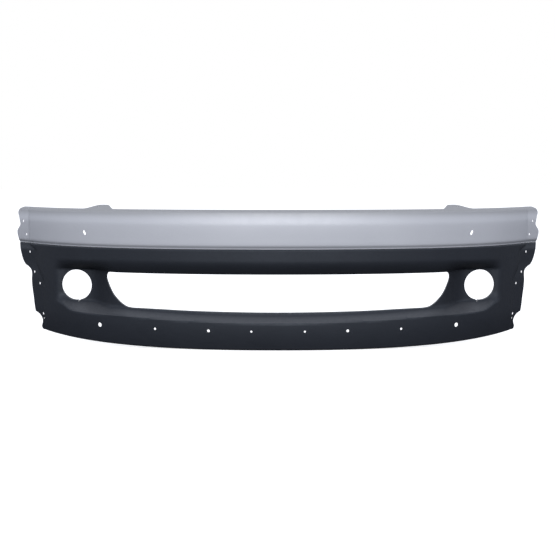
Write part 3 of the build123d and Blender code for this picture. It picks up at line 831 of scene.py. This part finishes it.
# ---- Lower cover ---------------------------------------------------------------------------
def lower_heights(x):
    low = lip_z(x)
    heights = [low + h for h in (0.0, 0.5, 1.1, 1.8, 2.6, 3.5, 4.6, 6.0, 8.0, 11.0, 15.0)]
    heights += steps(low + 20.0, low + 56.0, 6) + steps(low + 61.0, 140.0, 20) + steps(144.0, 300.0, 39)
    return heights + [302.0, 303.5, 304.6, 305.5, 306.3, 307.0, SEAM_Z - SEAM_GAP]


def intake_outline(grow=0.0):
    """Outline of the intake, seen from the front, made larger by grow."""
    side = []
    for x, z in INTAKE_SIDE:
        share = max(-1.0, min(1.0, (z - 170.0) / 60.0))
        side.append((x + grow * ease((x - 300.0) / 240.0), z + grow * share))
    around = side + [(0.0, INTAKE_LOW_Z - grow)] + [(-x, z) for x, z in reversed(side)]
    top_z = INTAKE_TOP_Z + grow
    top = [(x, top_z) for x in steps(around[-1][0], around[0][0], 120)[1:-1]]
    return [tuple(p) for p in through(around, CURVE_STEPS)] + top


def wall_ring(inner, outer, rear_at):
    """Ring wall behind the skin, between two outlines, as deep as rear_at says."""
    sections = []
    for near, far in zip(inner, outer):
        section = [(x, lower_depth(x, z) + 1.0, z) for x, z in (near, far)]
        section += [(x, rear_at(x, z), z) for x, z in (far, near)]
        sections.append(section)
    return ring(sections)


def lamp_outline(side, radius):
    angles = [math.tau * i / LAMP_SIDES for i in range(LAMP_SIDES)]
    return [(side * LAMP_X + radius * math.cos(a), LAMP_Z + radius * math.sin(a)) for a in angles]


def lamp_collar(side):
    """Ring wall behind the skin that a fog lamp is pushed into."""
    bore = lamp_outline(side, LAMP_RADIUS)
    outside = lamp_outline(side, LAMP_RADIUS + LAMP_WALL)
    return wall_ring(bore, outside, lambda x, z: LAMP_COLLAR_REAR)


def lamp_bore(side):
    return prism(lamp_outline(side, LAMP_RADIUS), 0.0, FAR)


def lamp_key(side):
    """V notch at the bottom of a lamp hole."""
    x = side * LAMP_KEY_X
    inside = LAMP_Z - LAMP_RADIUS + LAMP_KEY_HALF / 2.0
    corners = [(x - LAMP_KEY_HALF, inside), (x + LAMP_KEY_HALF, inside), (x, LAMP_KEY_LOW_Z)]
    return prism(corners, 0.0, FAR)


def lip_return():
    """Turned-in flange along the lower lip."""
    loops = []
    for x in steps(-762.0, 762.0, 240):
        front = plan_depth(x) + (LOWER_SETBACK + LIP_TUCK + EDGE_ROUND + 1.0) * stretch(x)
        rear = plan_depth(x) + LIP_RETURN * stretch(x)
        low = lip_z(x)
        corners = [(front, low), (rear, low + 1.5), (rear, low + 1.5 + WALL), (front, low + WALL)]
        loops.append([(x, y, z) for y, z in corners])
    return swept(loops)


def lower_webs():
    """Webs that brace the seam shelf and the lip from behind."""
    webs = []
    for x in mirrored(list(GUSSET_XS)):
        low = lip_z(x)
        webs.append(gusset(x, SHELF_WEB))
        webs.append(gusset(x, [(n, low + height) for n, height in LIP_WEB]))
    return webs


def lower_cover():
    xs = skin_columns()
    outer = [[Vector((x, lower_depth(x, z), z)) for z in lower_heights(x)] for x in xs]
    inner = [[p + Vector((0.0, lower_wall(p.x, p.z), 0.0)) for p in column] for column in outer]
    cover = make_object("lower_cover_shell", shell(outer, inner))
    shelf_top = SEAM_Z - SEAM_GAP
    grown = intake_outline(INTAKE_WALL)
    lining = wall_ring(intake_outline(), grown, lambda x, z: lower_depth(x, z) + INTAKE_RETURN)
    collars = both_sides(lamp_collar)
    shelf = ribbon(9.5, SHELF_REAR, shelf_top - WALL, shelf_top, SHELF_END)
    boolean(cover, "UNION", [shelf, lip_return()])
    boolean(cover, "UNION", lower_webs() + bolts(PAD_RADIUS, SEAM_Z - PAD_SINK, SEAM_Z))
    boolean(cover, "UNION", [lining, *collars])
    edge = through(LOWER_ARCH_UPPER_EDGE, CURVE_STEPS) + through(LOWER_ARCH_LOWER_EDGE, CURVE_STEPS)[1:]
    boolean(cover, "DIFFERENCE", both_sides(lambda side: outside_of(side, edge, edge[-1][1])))
    boolean(cover, "DIFFERENCE", [prism(intake_outline(), -FAR, FAR)])
    boolean(cover, "DIFFERENCE", both_sides(lamp_bore))
    boolean(cover, "DIFFERENCE", both_sides(lamp_key))
    holes = bolts(BOLT_CLEARANCE, SEAM_Z - 10.0, SEAM_Z + 5.0)
    for x, z, radius in LIP_HOLES:
        holes += both_sides(lambda side: face_hole(radius, side * x, z))
    for x, z, radius in LOWER_ARCH_HOLES:
        holes += both_sides(lambda side: arch_hole(radius, side * x, z, lower_crease_x(z)))
    boolean(cover, "DIFFERENCE", holes)
    return cover


# ---- Putting it together -------------------------------------------------------------------
def place_cover(cover, node, material):
    """A moulding takes the place of its CAD piece."""
    cover.data.materials.clear()
    cover.data.materials.append(material)
    bpy.context.view_layer.objects.active = cover
    cover.select_set(True)
    bpy.ops.object.shade_smooth_by_angle(angle=math.radians(SMOOTH_ANGLE))
    cover.select_set(False)
    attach(cover, "root")
    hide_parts(node)


def finish_node(node, material):
    """Better material on a CAD piece that keeps its own mesh."""
    for material_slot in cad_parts[node].material_slots:
        material_slot.material = material


make_floor()
make_camera()
make_lights()
make_world()
bpy.context.scene.view_settings.view_transform = "Standard"

place_cover(upper_cover(), "upper_cover", painted_silver())
place_cover(lower_cover(), "lower_cover", grained_plastic())
steel = rolled_steel()
for node in ("seam_retainer_left", "seam_retainer_centre", "seam_retainer_right"):
    finish_node(node, steel)
zinc = fastener_steel()
for node in ("seam_screws", "seam_washers", "seam_nuts"):
    finish_node(node, zinc)
